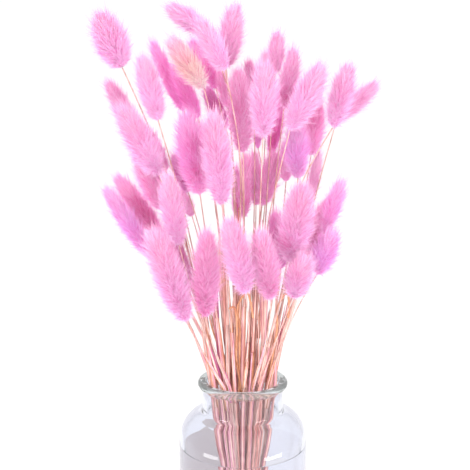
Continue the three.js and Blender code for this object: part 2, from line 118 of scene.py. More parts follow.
# How the stems move clear of each other at the mouth and of the heads above it, as in the solids
MOUTH_ROUNDS = 80
MOUTH_SHARE = 0.3
BEND_ROUNDS = 120
SMOOTHING_ROUNDS = 90
BEND_SHARE = 0.35
BEND_STEP = 1.5
BEND_UPRIGHT_SHARE = 0.2
SMOOTHING = 0.06

# Steps to a span of the finer paths
STEM_STEPS = 7
BLADE_STEPS = 6
LEAF_STEPS = 5

# A stalk's section, and a sheath's: wider just above its joint, narrower at its top, ridged and flat
WIDEST_STALK = 0.95
STALK_SHARE = 0.92
SHEATH_SWELL = 0.14
SWELL_LENGTH = 3.0
SHEATH_NARROWING = 0.35
NARROWING_LENGTH = 14
SHEATH_SIDES = 8
SHEATH_RIDGES = 0.09
SHEATH_FLATNESS = 0.6

# Heights of the stems' joints and of their sheaths' tops, in millimetres, each as a lowest one and a range
FIRST_JOINT = (112, 36)
SECOND_JOINT = (172, 40)
SHEATH_TOP = (196, 94)

# Pixels that a stalk passes where the photograph shows them, by the number of its head
PASSED = {
    1: [(144, 100), (158, 132), (190, 215)],
    2: [(169, 155), (186, 195)],
    3: [(195, 140)],
    5: [(218, 93), (228, 115)],
    9: [(230, 90), (234, 130), (240, 190)],
    18: [(281, 155), (272, 190)],
    20: [(303, 158), (272, 190)],
    21: [(321, 165), (312, 202)],
    29: [(202, 210)],
    36: [(196, 335), (203, 358)],
    39: [(201, 207), (207, 228)],
    46: [(302, 272), (287, 310)],
    47: [(291, 300)],
    48: [(303, 290), (288, 325)],
    50: [(293, 250), (280, 310)],
}

# Bent dry leaves: the depth of each one's end, its straw and the pixels that it passes
LEAF_ROOT_DEPTH = -10
BENT_LEAF_HALF_WIDTH = 0.85
BENT_LEAVES = [
    (-31, "ochre", [(239, 396), (240, 330), (241, 299), (247, 293), (250, 300), (253, 318)]),
    (-26, "ochre", [(266, 396), (277, 330), (281, 300), (286, 294), (289, 303), (288, 318)]),
    (-33, "ochre", [(242, 396), (236, 350), (237, 330), (236, 315), (233, 307), (229, 309)]),
]


# Small helpers


def unit(vector):
    return vector / np.linalg.norm(vector, axis=-1, keepdims=True)


def ease(low, high, value):
    t = np.clip((value - low) / (high - low), 0, 1)
    return t * t * (3 - 2 * t)


def draw(first, second):
    """A number from 0 to 1 that is always the same for the same two counts."""
    value = math.sin(first * 12.9898 + second * 78.233) * 43758.5453
    return value - math.floor(value)


def seen(pixel, depth):
    """The point at a world depth that the photograph shows at a pixel."""
    middle = PICTURE_SIDE / 2
    ray = AHEAD + RIGHT * (pixel[0] - middle) / FOCAL_PIXELS + UPWARD * (middle - pixel[1]) / FOCAL_PIXELS
    return EYE + ray * (depth - EYE[1]) / ray[1]


def outline(along):
    """A head's radius as a share of its largest, from its base at 0 to its tip at 1."""
    s = np.clip(along, 1e-6, 1 - 1e-6)
    return np.sin(math.pi * s**0.8) ** 0.5


def linear(red, green, blue):
    """A colour as a screen shows it, 0 to 255, turned into the light that a shader takes."""
    share = np.array([red, green, blue]) / 255
    light = np.where(share <= 0.04045, share / 12.92, ((share + 0.055) / 1.055) ** 2.4)
    return (*map(float, light), 1.0)


def build(name, points, faces, materials, uvs=None, slots=None, smooth=True, edges=None):
    """A mesh object from points in millimetres and arrays of faces, each array with one number of corners."""
    mesh = bpy.data.meshes.new(name)
    mesh.vertices.add(len(points))
    mesh.vertices.foreach_set("co", (np.asarray(points) * MM).astype(np.float32).ravel())
    corners = np.concatenate([np.asarray(f).ravel() for f in faces]).astype(np.int32)
    totals = np.concatenate([np.full(len(f), np.asarray(f).shape[1]) for f in faces]).astype(np.int32)
    mesh.loops.add(len(corners))
    mesh.loops.foreach_set("vertex_index", corners)
    mesh.polygons.add(len(totals))
    mesh.polygons.foreach_set("loop_start", (np.cumsum(totals) - totals).astype(np.int32))
    mesh.polygons.foreach_set("loop_total", totals)
    mesh.polygons.foreach_set("use_smooth", np.full(len(totals), smooth))
    if slots is not None:
        mesh.polygons.foreach_set("material_index", np.asarray(slots).astype(np.int32))
    if uvs is not None:
        layer = mesh.uv_layers.new(name="OFBake")
        layer.data.foreach_set("uv", np.asarray(uvs)[corners].astype(np.float32).ravel())
    if edges is not None:
        mesh.attributes.new("edge", "FLOAT", "POINT").data.foreach_set("value", edges.astype(np.float32))
    for material in materials:
        mesh.materials.append(material)
    mesh.update(calc_edges=True)
    mesh.validate()
    piece = bpy.data.objects.new(name, mesh)
    bpy.context.scene.collection.objects.link(piece)
    return piece


def turned(profile, steps=TURN_STEPS):
    """Points and faces of a profile of (radius, height) turned about the axis, where an end is one point."""
    angles = np.arange(steps) * 2 * math.pi / steps
    points = []
    rings = []
    for radius, height in profile:
        if radius < 1e-6:
            points.append((0, 0, height))
            rings.append([len(points) - 1] * steps)
            continue
        start = len(points)
        points += [(radius * math.cos(a), radius * math.sin(a), height) for a in angles]
        rings.append(list(range(start, start + steps)))
    quads = []
    tris = []
    for low, high in zip(rings, rings[1:]):
        for j in range(steps):
            k = (j + 1) % steps
            if low[j] == low[k]:
                tris.append((low[j], high[k], high[j]))
            elif high[j] == high[k]:
                tris.append((low[j], low[k], high[j]))
            else:
                quads.append((low[j], low[k], high[k], high[j]))
    return points, [f for f in (quads, tris) if f]


# Materials


def new_material(name):
    material = bpy.data.materials.new(name)
    material.use_nodes = True
    tree = material.node_tree
    return material, tree, tree.nodes["Principled BSDF"]


def ramp(tree, stops, source):
    node = tree.nodes.new("ShaderNodeValToRGB")
    elements = node.color_ramp.elements
    while len(elements) < len(stops):
        elements.new(0.5)
    for element, (place, colour) in zip(elements, stops):
        element.position = place
        element.color = colour
    tree.links.new(source, node.inputs["Fac"])
    return node.outputs["Color"]


def mixed(tree, share, first, second, kind="MIX"):
    node = tree.nodes.new("ShaderNodeMix")
    node.data_type = "RGBA"
    node.blend_type = kind
    for label, value in (("Factor", share), ("A", first), ("B", second)):
        socket = node.inputs[label]
        if isinstance(value, bpy.types.NodeSocket):
            tree.links.new(value, socket)
        else:
            socket.default_value = value
    colour = [socket for socket in node.outputs if socket.type == "RGBA"]
    return colour[0]


# How a head's colour runs at the base, middle and tip: its dye, with a lighter base as painted light where
# the heads around shade it
TONES = {
    "pale": (linear(248, 225, 246), linear(247, 217, 242), linear(245, 210, 233)),
    "pink": (linear(246, 206, 236), linear(245, 205, 235), linear(244, 208, 233)),
    "deep": (linear(247, 197, 243), linear(242, 179, 230), linear(245, 208, 238)),
    "salmon": (linear(244, 238, 237), linear(244, 225, 221), linear(245, 213, 232)),
    "lilac": (linear(253, 234, 253), linear(246, 207, 246), linear(243, 208, 237)),
}
# Lighter copies of the same, painted light for heads that stand in the shade of others, which the photograph
# shows as bright as those in front
PAINTED_LIGHT_TONES = {
    "pink": (linear(252, 216, 245), linear(250, 210, 240), linear(248, 210, 237)),
    "deep": (linear(253, 205, 248), linear(251, 184, 238), linear(248, 200, 238)),
    "lilac": (linear(254, 226, 250), linear(249, 205, 243), linear(245, 207, 237)),
}
# Heads in the shade of others, which take the lighter copies: painted light
PAINTED_LIGHT_HEADS = [3, 4, 8, 11, 17, 19, 23, 24, 25, 26, 27, 29, 33, 35, 40, 46, 47]
FROST = linear(247, 229, 236)
DEEP_DYE = linear(241, 149, 209)


def fluff_material(name, tones):
    """Deep dye at the awns' roots, frosted tips, and the colour's change from a head's base to its tip: dye,
    and painted light at the base.
    """
    material, tree, shader = new_material(name)
    place = tree.nodes.new("ShaderNodeUVMap")
    place.uv_map = "OFBake"
    split = tree.nodes.new("ShaderNodeSeparateXYZ")
    tree.links.new(place.outputs["UV"], split.inputs["Vector"])
    base, middle, tip = tones
    along = ramp(tree, [(0.0, base), (0.45, middle), (1.0, tip)], split.outputs["X"])
    roots = ramp(tree, [(0.0, DEEP_DYE), (0.45, (1, 1, 1, 1))], split.outputs["Y"])
    paling = ramp(tree, [(0.5, (0, 0, 0, 1)), (1.0, (0.7, 0.7, 0.7, 1))], split.outputs["Y"])
    colour = mixed(tree, paling, mixed(tree, 1.0, along, roots, "MULTIPLY"), FROST)
    tree.links.new(colour, shader.inputs["Base Color"])
    shader.inputs["Roughness"].default_value = 0.85
    shader.inputs["Specular IOR Level"].default_value = 0.15
    shader.inputs["Sheen Weight"].default_value = 0.15
    shader.inputs["Sheen Roughness"].default_value = 0.5
    through = tree.nodes.new("ShaderNodeBsdfTranslucent")
    tree.links.new(colour, through.inputs["Color"])
    blend = tree.nodes.new("ShaderNodeMixShader")
    blend.inputs["Fac"].default_value = 0.45
    tree.links.new(shader.outputs["BSDF"], blend.inputs[1])
    tree.links.new(through.outputs["BSDF"], blend.inputs[2])
    tree.links.new(blend.outputs["Shader"], tree.nodes["Material Output"].inputs["Surface"])
    return material


# Straw of different dye and age, each as a light and a dark shade
STRAWS = {
    "peach": (linear(250, 216, 205), linear(230, 176, 166)),
    "salmon": (linear(240, 182, 172), linear(204, 126, 120)),
    "ochre": (linear(216, 160, 126), linear(168, 100, 72)),
    "rose": (linear(240, 186, 198), linear(206, 132, 150)),
    "russet": (linear(172, 84, 80), linear(118, 44, 46)),
    "magenta": (linear(226, 132, 186), linear(192, 86, 146)),
    "pale": (linear(226, 200, 194), linear(186, 158, 152)),
    "stalk": (linear(228, 188, 180), linear(172, 126, 118)),
}

# Which straw stands where, by the column of the photograph that a stem passes in a row above the jar:
# low down, and above the second joint
STRAW_ROW = 350
STRAW_COLUMNS = [
    (211, ["peach", "peach", "salmon"], ["peach", "peach", "rose"]),
    (221, ["magenta", "peach", "rose"], ["rose", "pale", "magenta"]),
    (227, ["peach", "salmon", "peach"], ["peach", "rose", "peach"]),
    (240, ["peach", "salmon", "peach"], ["ochre", "peach", "rose"]),
    (248, ["salmon", "peach", "peach"], ["peach", "peach", "salmon"]),
    (254, ["russet", "rose", "salmon"], ["rose", "salmon", "peach"]),
    (262, ["peach", "salmon", "peach"], ["peach", "ochre", "peach"]),
    (272, ["rose", "peach", "peach"], ["rose", "pale", "peach"]),
    (300, ["peach", "rose", "peach"], ["peach", "rose", "pale"]),
]

# Straws of the sheaths in the jar, of the sheaths' splits there and of their splits above
STRAWS_IN_JAR = ["rose", "pale", "peach", "rose", "peach"]
STRANDS_IN_JAR = ["rose", "salmon", "stalk", "rose", "peach", "peach"]
STRANDS_ABOVE = ["peach", "ochre", "salmon", "pale", "rose", "ochre"]

# What the colour of a straw is multiplied by at its edges: partly the darker edges of dry straw, partly
# painted shade between neighbouring strands
EDGE_SHADE = (0.5, 0.35, 0.35, 1)

# Heights of the sheaths' tops where the photograph shows the bare stalk low down, by the number of the head
SHEATH_TOPS = {36: 178, 46: 172, 47: 176, 48: 168, 21: 200, 50: 205}


def straw_material(kind):
    """Dry straw: long fibres in a light and a dark shade, darker edges, fine ridges and a soft gloss."""
    light, dark = STRAWS[kind]
    material, tree, shader = new_material(f"straw_{kind}")
    place = tree.nodes.new("ShaderNodeTexCoord")
    stretch = tree.nodes.new("ShaderNodeMapping")
    stretch.inputs["Scale"].default_value = (1, 1, 0.06)
    tree.links.new(place.outputs["Object"], stretch.inputs["Vector"])
    fibre = tree.nodes.new("ShaderNodeTexNoise")
    fibre.inputs["Scale"].default_value = 900
    fibre.inputs["Detail"].default_value = 3
    tree.links.new(stretch.outputs["Vector"], fibre.inputs["Vector"])
    patch = tree.nodes.new("ShaderNodeTexNoise")
    patch.inputs["Scale"].default_value = 60
    tree.links.new(place.outputs["Object"], patch.inputs["Vector"])
    fibres = ramp(tree, [(0.35, dark), (0.6, light)], fibre.outputs["Fac"])
    patches = ramp(tree, [(0.4, dark), (0.62, light)], patch.outputs["Fac"])
    # Darker edges: partly dry straw, partly painted shade between strands
    edge = tree.nodes.new("ShaderNodeAttribute")
    edge.attribute_name = "edge"
    edges = ramp(tree, [(0.7, (1, 1, 1, 1)), (1.0, EDGE_SHADE)], edge.outputs["Fac"])
    colour = mixed(tree, 1.0, mixed(tree, 0.45, fibres, patches), edges, "MULTIPLY")
    tree.links.new(colour, shader.inputs["Base Color"])
    shader.inputs["Roughness"].default_value = 0.6
    shader.inputs["Specular IOR Level"].default_value = 0.35
    bump = tree.nodes.new("ShaderNodeBump")
    bump.inputs["Strength"].default_value = 0.4
    bump.inputs["Distance"].default_value = 0.0002
    tree.links.new(fibre.outputs["Fac"], bump.inputs["Height"])
    tree.links.new(bump.outputs["Normal"], shader.inputs["Normal"])
    return material


def clear_material(name, tint, refraction, clearness=1.0):
    """Glass or water: clear, smooth, and letting lamps through so that what stands in it is lit."""
    material, tree, shader = new_material(name)
    shader.inputs["Base Color"].default_value = tint
    shader.inputs["Roughness"].default_value = 0.0
    shader.inputs["IOR"].default_value = refraction
    shader.inputs["Transmission Weight"].default_value = clearness
    rays = tree.nodes.new("ShaderNodeLightPath")
    clear = tree.nodes.new("ShaderNodeBsdfTransparent")
    clear.inputs["Color"].default_value = (0.99, 0.99, 0.99, 1)
    choice = tree.nodes.new("ShaderNodeMixShader")
    tree.links.new(rays.outputs["Is Shadow Ray"], choice.inputs["Fac"])
    tree.links.new(shader.outputs["BSDF"], choice.inputs[1])
    tree.links.new(clear.outputs["BSDF"], choice.inputs[2])
    tree.links.new(choice.outputs["Shader"], tree.nodes["Material Output"].inputs["Surface"])
    return material


# The heads, read from the frame


def read_head(node):
    """Base, axis, length and radius of a head's solid: it has six points at its base and one at its tip."""
    coords = np.array([v.co for v in frame["nodes"][node].data.vertices], float) / MM
    coords = np.unique(np.round(coords, 3), axis=0)
    middle = coords.mean(0)
    _, _, rows = np.linalg.svd(coords - middle)
    along = (coords - middle) @ rows[0]
    ends = [coords[np.argmin(along)], coords[np.argmax(along)]]
    crowd = [np.sum(np.linalg.norm(coords - end, axis=1) < 2.0) for end in ends]
    low, high = ends if crowd[0] > crowd[1] else ends[::-1]
    nearest = np.argsort(np.linalg.norm(coords - low, axis=1))[:6]
    base = coords[nearest].mean(0)
    length = np.linalg.norm(high - base)
    axis = (high - base) / length
    offset = coords - base
    radius = np.linalg.norm(offset - np.outer(offset @ axis, axis), axis=1).max()
    return {"node": node, "base": base, "axis": axis, "length": length, "radius": radius}


HEAD_NODES = sorted(name for name in frame["nodes"] if name.startswith("head_"))
HEADS = [read_head(node) for node in HEAD_NODES]
TONE_OF = {row["node"]: row["material_slot"].removeprefix("head_") for row in frame["record"]["subparts"]}

# Places of deeper colour in the photograph, partly deeper dye and partly painted shade where heads shade each
# other: head, pixel, radius in pixels and depth of the colour
DYE_AND_PAINTED_SHADE_PLACES = [
    (1, (114, 38), 6, 0.10),
    (3, (167, 70), 10, 0.12),
    (4, (190, 100), 12, 0.06),
    (8, (207, 66), 12, 0.30),
    (10, (217, 108), 14, 0.38),
    (12, (236, 108), 14, 0.22),
    (12, (240, 72), 6, 0.06),
    (16, (280, 98), 16, 0.38),
    (17, (271, 140), 14, 0.38),
    (19, (314, 112), 12, 0.34),
    (22, (287, 160), 9, 0.12),
    (29, (198, 145), 9, 0.40),
    (29, (199, 170), 10, 0.34),
    (30, (115, 92), 10, 0.18),
    (31, (154, 160), 12, 0.04),
    (33, (150, 178), 12, 0.02),
    (35, (140, 203), 12, 0.34),
    (35, (150, 222), 10, 0.32),
    (34, (135, 232), 12, 0.20),
    (37, (186, 255), 12, 0.15),
    (39, (180, 172), 12, 0.22),
    (44, (282, 245), 10, 0.34),
    (45, (277, 232), 12, 0.28),
    (46, (333, 210), 10, 0.06),
    (47, (310, 238), 12, 0.24),
    (49, (298, 280), 8, 0.02),
]

# Heads that are dyed deeper than others of their tone; where the number is below 0, heads painted paler, on
# heads in the shade of others as painted light
DEEPER_DYE_AND_PAINTED_LIGHT = {
    9: -0.12, 10: 0.1, 13: 0.14, 24: -0.08, 26: -0.14, 32: 0.14, 37: 0.26, 39: 0.06, 40: -0.08, 41: 0.08,
    45: 0.12, 50: -0.16, 52: 0.06, 55: 0.14, 56: 0.06,
}

# Fluff: tufts of awns that stand out of a core
TOTAL_AWNS = 243_000
AWNS_IN_TUFT = 6
STRAYS_IN_TUFT = 2
AWN_RADIUS = 0.2
STRAY_RADIUS = 0.24
FLUFF_SHARE = 1.01
CORE_SHARE = 0.6
CORE_LENGTH = 0.97
CORE_SEAT_RADIUS = 0.9
CORE_TIP_RADIUS = 0.15
CORE_LUMPS = 0.1
CORE_ROUND = 16
CORE_RINGS = 22

# How far the awns' tips lie ahead of their roots in millimetres, from a head's base at 0 to its tip at 1
LEAN_PLACES = [0, 0.1, 0.35, 1.0]
LEANS = [-1.6, 1.2, 4.2, 6.5]

# How tufts differ in turn, and awns in place, in millimetres, and in length beside their tuft
TURN_JITTER = 0.12
ROOT_SPREAD = 0.9
ROOT_SUNK = 0.93
CLOSING = 0.25
AWN_JITTER = 0.45
STRAY_JITTER = 0.9
AWN_LENGTHS = (0.74, 1.08)
STRAY_LENGTHS = (1.15, 2.2)

# How awns differ in shade, from deep dye at 0 to frost at 1
CORE_SHADE = 0.32
ROOT_SHADE = 0.39
TIP_SHADE = 0.8
STRAY_SHADE = 0.5
PATCH_SHADE = 0.1
TUFT_SHADE_SPREAD = 0.065
AWN_SHADE_SPREAD = 0.09
DEEPER_SHARE = 0.18
DEEPER_SHADE = -0.25
OTHER_SHADE = 0.05


def frame_of(axis):
    """Two directions across a head's axis, the second one towards or away from the line of sight."""
    side = unit(np.cross(axis, AHEAD))
    return side, np.cross(side, axis)


def core(head):
    """A lumpy core that the awns are rooted in."""
    side, front = frame_of(head["axis"])
    s = np.linspace(0.0, 1.0, CORE_RINGS + 1)
    reach = head["radius"] * CORE_SHARE * outline(s)
    reach[0] = CORE_SEAT_RADIUS
    reach[-1] = CORE_TIP_RADIUS
    turn = np.arange(CORE_ROUND) * 2 * math.pi / CORE_ROUND
    points = []
    for k, (place, r) in enumerate(zip(s, reach)):
        angles = turn + 0.5 * (k % 2) * 2 * math.pi / CORE_ROUND
        lumps = r * (1 + CORE_LUMPS * np.cos(3 * angles + 2.4 * k))[:, None]
        ring = lumps * (np.cos(angles)[:, None] * side + np.sin(angles)[:, None] * front)
        points.append(head["base"] + head["axis"] * place * head["length"] * CORE_LENGTH + ring)
    top_point = head["base"] + head["axis"] * head["length"] * (CORE_LENGTH + 0.005)
    points = np.vstack([*points, head["base"], top_point])
    rings = np.arange((CORE_RINGS + 1) * CORE_ROUND).reshape(CORE_RINGS + 1, CORE_ROUND)
    faces = []
    for k in range(CORE_RINGS):
        low, high = rings[k], rings[k + 1]
        if k % 2:
            high = np.roll(high, -1)
        low_next, high_next = np.roll(low, -1), np.roll(high, -1)
        faces.append(np.stack([low, low_next, high], 1))
        faces.append(np.stack([low_next, high_next, high], 1))
    bottom, top = len(points) - 2, len(points) - 1
    faces.append(np.stack([np.roll(rings[0], -1), rings[0], np.full(CORE_ROUND, bottom)], 1))
    faces.append(np.stack([rings[-1], np.roll(rings[-1], -1), np.full(CORE_ROUND, top)], 1))
    along = np.append(np.repeat(s, CORE_ROUND), [0.0, 1.0])
    # The core's tone, with deeper dye and with painted shade and light at the places listed
    dye = (CORE_SHADE - dye_and_painted_light(head, points)).clip(0.02, CORE_SHADE)
    uvs = np.stack([0.02 + 0.96 * along, dye], 1)
    return points, np.vstack(faces), uvs


def fluff_outline(along):
    """The fluff's reach as a share of its largest: rounder at the base, blunter at the tip than a solid's."""
    s = np.clip(along, 1e-6, 1 - 1e-6)
    return np.sin(math.pi * s**0.86) ** 0.42


def pixels_of(points):
    """Where the photograph shows points of the world."""
    away = points - EYE
    far = away @ AHEAD
    across = PICTURE_SIDE / 2 + FOCAL_PIXELS * (away @ RIGHT) / far
    down = PICTURE_SIDE / 2 - FOCAL_PIXELS * (away @ UPWARD) / far
    return np.stack([across, down], -1)


def head_number(head):
    return int(head["node"].removeprefix("head_"))


def dye_and_painted_light(head, points):
    """How much deeper the colour is at points on the side of a head that the photograph shows: deeper dye,
    with painted shade and painted light.
    """
    number = head_number(head)
    depth = np.full(len(points), DEEPER_DYE_AND_PAINTED_LIGHT.get(number, 0.0))
    middle = head["base"] + 0.5 * head["length"] * head["axis"]
    for own, pixel, radius, amount in DYE_AND_PAINTED_SHADE_PLACES:
        if own != number:
            continue
        off = np.linalg.norm(pixels_of(points) - pixel, axis=1) / radius
        facing = ease(-0.3, 0.5, -((points - middle) @ AHEAD) / head["radius"])
        depth += amount * np.exp(-(off**2)) * (0.3 + 0.7 * facing)
    return depth


def patches(angle, s):
    """Slow changes of the dye round and along a head, from -1 to 1."""
    first, second, third = RNG.random(3) * 2 * math.pi
    slow = np.sin(angle + first + 2 * s)
    quick = np.sin(2 * angle + second - 5 * s) * 0.6
    rings = np.sin(9 * s + third) * 0.5
    return (slow + quick + rings) / 2.1


def awns(head, tufts):
    """Tufts of three-sided awns, which droop at the base and lean forward above it to a blunt fuzzy tip."""
    side, front = frame_of(head["axis"])
    axis, length, radius = head["axis"], head["length"], head["radius"]
    table = np.linspace(0, 1, 400)
    weight = np.cumsum(outline(table) + 0.15)
    tip_s = np.interp((np.arange(tufts) + 0.5) / tufts, weight / weight[-1], table)
    angle = np.arange(tufts) * GOLDEN_ANGLE + RNG.normal(0, TURN_JITTER, tufts)
    lean = np.interp(tip_s, LEAN_PLACES, LEANS)
    root_s = np.clip(tip_s - lean / length, 0.015, 0.93)

    def place(s, turn, reach):
        outward = np.cos(turn)[..., None] * side + np.sin(turn)[..., None] * front
        return head["base"] + (s * length)[..., None] * axis + outward * reach[..., None]

    shape = (tufts, AWNS_IN_TUFT)
    core_reach = radius * CORE_SHARE * outline(root_s)
    spread = ROOT_SPREAD / np.maximum(core_reach, 1.5)
    root_turn = angle[:, None] + RNG.normal(0, 1, shape) * spread[:, None]
    root_place = np.clip(root_s[:, None] + RNG.normal(0, ROOT_SPREAD / length, shape), 0.01, 0.95)
    root = place(root_place, root_turn, radius * CORE_SHARE * outline(root_place) * ROOT_SUNK)
    middle = place(root_s, angle, core_reach)
    tuft_ends = place(tip_s, angle, radius * fluff_outline(tip_s) * FLUFF_SHARE)
    reach = (tuft_ends - middle)[:, None] + CLOSING * (middle[:, None] - root)
    reach += RNG.normal(0, AWN_JITTER, (*shape, 3))
    stretch = RNG.uniform(*AWN_LENGTHS, shape)
    stretch[:, :STRAYS_IN_TUFT] = RNG.uniform(*STRAY_LENGTHS, (tufts, STRAYS_IN_TUFT))
    reach[:, :STRAYS_IN_TUFT] += RNG.normal(0, STRAY_JITTER, (tufts, STRAYS_IN_TUFT, 3))
    end = (root + reach * stretch[..., None]).reshape(-1, 3)
    root = root.reshape(-1, 3)

    count = tufts * AWNS_IN_TUFT
    ahead = unit(end - root)
    across = unit(np.cross(ahead, axis + 0.01 * side))
    over = np.cross(across, ahead)
    points = np.empty((count, 4, 3))
    spin = RNG.random(count) * 2 * math.pi
    thick = np.full(shape, AWN_RADIUS)
    thick[:, :STRAYS_IN_TUFT] = STRAY_RADIUS
    thick = thick.reshape(-1, 1)
    for k in range(3):
        a = spin + k * 2 * math.pi / 3
        points[:, k] = root + thick * (np.cos(a)[:, None] * across + np.sin(a)[:, None] * over)
    points[:, 3] = end
    first = np.arange(count) * 4
    faces = np.concatenate([np.stack([first + k, first + (k + 1) % 3, first + 3], 1) for k in range(3)])

    paleness = PATCH_SHADE * patches(angle, tip_s) + RNG.normal(0, TUFT_SHADE_SPREAD, tufts)
    # Deeper dye, painted shade and painted light at the tufts' ends
    paleness -= dye_and_painted_light(head, tuft_ends)
    deeper = np.where(RNG.random(shape) < DEEPER_SHARE, DEEPER_SHADE, OTHER_SHADE)
    shade = (paleness[:, None] + RNG.normal(0, AWN_SHADE_SPREAD, shape) + deeper).reshape(-1)
    along = (np.repeat(tip_s, AWNS_IN_TUFT) + RNG.normal(0, 0.02, count)).clip(0.02, 0.98)
    uvs = np.empty((count, 4, 2))
    uvs[:, :, 0] = along[:, None] + np.array([-0.006, 0.0, 0.006, 0.0])
    uvs[:, :3, 1] = (ROOT_SHADE + shade).clip(0.02, 0.6)[:, None]
    frosted = np.full(shape, TIP_SHADE)
    frosted[:, :STRAYS_IN_TUFT] = STRAY_SHADE
    uvs[:, 3, 1] = (frosted.reshape(-1) + shade).clip(0.3, 0.98)
    return points.reshape(-1, 3), faces, uvs.reshape(-1, 2)


def build_heads():
    fluff = {tone: fluff_material(f"fluff_{tone}", tones) for tone, tones in TONES.items()}
    # Plain fluff, and lighter copies with painted light for heads in the shade of others
    painted_light_materials = {tone: fluff_material(f"painted_light_fluff_{tone}", tones) for tone, tones in PAINTED_LIGHT_TONES.items()}
    areas = np.array([head["radius"] * head["length"] for head in HEADS])
    counts = (TOTAL_AWNS / AWNS_IN_TUFT * areas / areas.sum()).astype(int)
    for head, tufts in zip(HEADS, counts):
        core_points, core_faces, core_uvs = core(head)
        awn_points, awn_faces, awn_uvs = awns(head, tufts)
        tone = TONE_OF[head["node"]]
        # Heads in the shade of others take the copies with painted light
        choice = painted_light_materials if head_number(head) in PAINTED_LIGHT_HEADS else fluff
        piece = build(
            head["node"].replace("head", "fluffy_head"),
            np.vstack([core_points, awn_points]),
            [np.vstack([core_faces, awn_faces + len(core_points)])],
            [choice[tone]],
            uvs=np.vstack([core_uvs, awn_uvs]),
            smooth=False,
        )
        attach(piece, "root")
        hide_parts(head["node"])


# The stems follow the same rule as their solid


BALLS = np.array([-0.22, -0.1, 0.08, 0.22, 0.36, 0.5, 0.64, 0.78, 0.91])


def balls_of(head):
    """Centres and radii of balls that fill a head and the top of its own stalk."""
    centres = head["base"] + np.outer(BALLS * head["length"], head["axis"])
    return centres, np.where(BALLS < 0, NECK_BALL_RADIUS, head["radius"] * outline(BALLS))


def smooth_path(points, leaving, arriving, count):
    points = [np.asarray(p, float) for p in points]
    inner = [unit(b - a) for a, b in zip(points, points[2:])]
    directions = [leaving, *inner, arriving]
    lengths = [np.linalg.norm(b - a) for a, b in zip(points, points[1:])]
    path = []
    for n in range(count + 1):
        along = sum(lengths) * n / count
        k = 0
        while k < len(lengths) - 1 and along > lengths[k]:
            along -= lengths[k]
            k += 1
        t = min(1, along / lengths[k])
        path.append(
            points[k] * (2 * t**3 - 3 * t**2 + 1)
            + directions[k] * (t**3 - 2 * t**2 + t) * lengths[k]
            + points[k + 1] * (3 * t**2 - 2 * t**3)
            + directions[k + 1] * (t**3 - t**2) * lengths[k]
        )
    return np.array(path)


def mouth_places():
    """Where the stems pass the jar's mouth: towards their heads, beside each other and inside the neck."""
    flat = np.array([head["base"][:2] for head in HEADS])
    far = np.linalg.norm(flat, axis=1)
    lean = np.minimum(1, far / FULL_LEAN_DISTANCE) ** LEAN_POWER
    mouths = flat / far[:, None] * (MOUTH_REACH * lean)[:, None]
    for _ in range(MOUTH_ROUNDS):
        away = mouths[:, None] - mouths[None]
        distance = np.linalg.norm(away, axis=2)
        overlap = np.where(distance > 0, np.maximum(0, MOUTH_SPACING - distance), 0)
        direction = away / np.maximum(distance, 1e-9)[:, :, None]
        mouths = mouths + (direction * overlap[:, :, None] * MOUTH_SHARE).sum(1)
        reach = np.linalg.norm(mouths, axis=1)
        mouths *= np.minimum(1, MOUTH_REACH / reach)[:, None]
    return np.column_stack([mouths, np.full(len(mouths), MOUTH_HEIGHT)])


def foot_places(mouths):
    """Feet packed like seeds in a flower, each given to the stem whose mouth place lies nearest."""
    n = np.arange(len(mouths))
    radius = FOOT_SPACING * np.sqrt(n + 0.3)
    turn = n * GOLDEN_ANGLE
    free = [np.array([r * math.cos(a), r * math.sin(a)]) for a, r in zip(turn, radius)]
    feet = np.zeros((len(mouths), 3))
    feet[:, 2] = FLOOR_THICKNESS + GAP
    order = sorted(range(len(mouths)), key=lambda i: (-np.linalg.norm(mouths[i]), i))
    for i in order:
        wanted = mouths[i][:2] * FOOT_REACH_SHARE
        best = min(range(len(free)), key=lambda k: (np.linalg.norm(free[k] - wanted), k))
        feet[i][:2] = free.pop(best)
    return feet


def bend_clear(path, radii, own):
    """A path's points move clear of every head's balls, and its two ends stay."""
    centres, sizes = [], []
    for h, head in enumerate(HEADS):
        if h != own:
            c, r = balls_of(head)
            centres.append(c)
            sizes.append(r)
    centres, sizes = np.vstack(centres), np.concatenate(sizes)
    shares = np.array([0, 0.25, 0.5, 0.75])
    radius = radii[:-1, None] * (1 - shares) + radii[1:, None] * shares + STEM_CLEARANCE
    for turn in range(BEND_ROUNDS):
        points = path[:-1, None] * (1 - shares)[:, None] + path[1:, None] * shares[:, None]
        away = points[:, :, None] - centres
        overlap = sizes + radius[:, :, None] - np.linalg.norm(away, axis=3)
        overlap = np.maximum(0, overlap)
        if overlap.any():
            away[..., 2] *= BEND_UPRIGHT_SHARE
            push = (unit(away) * overlap[..., None]).sum(2) * BEND_SHARE
            pushes = np.zeros_like(path)
            pushes[:-1] += (push * (1 - shares)[:, None]).sum(1)
            pushes[1:] += (push * shares[:, None]).sum(1)
            size = np.linalg.norm(pushes, axis=1)
            pushes *= np.minimum(1, BEND_STEP / np.maximum(size, 1e-9))[:, None]
            path[1:-1] += pushes[1:-1]
        if turn < SMOOTHING_ROUNDS:
            for k in range(1, len(path) - 1):
                path[k] += SMOOTHING * ((path[k - 1] + path[k + 1]) / 2 - path[k])
    return path


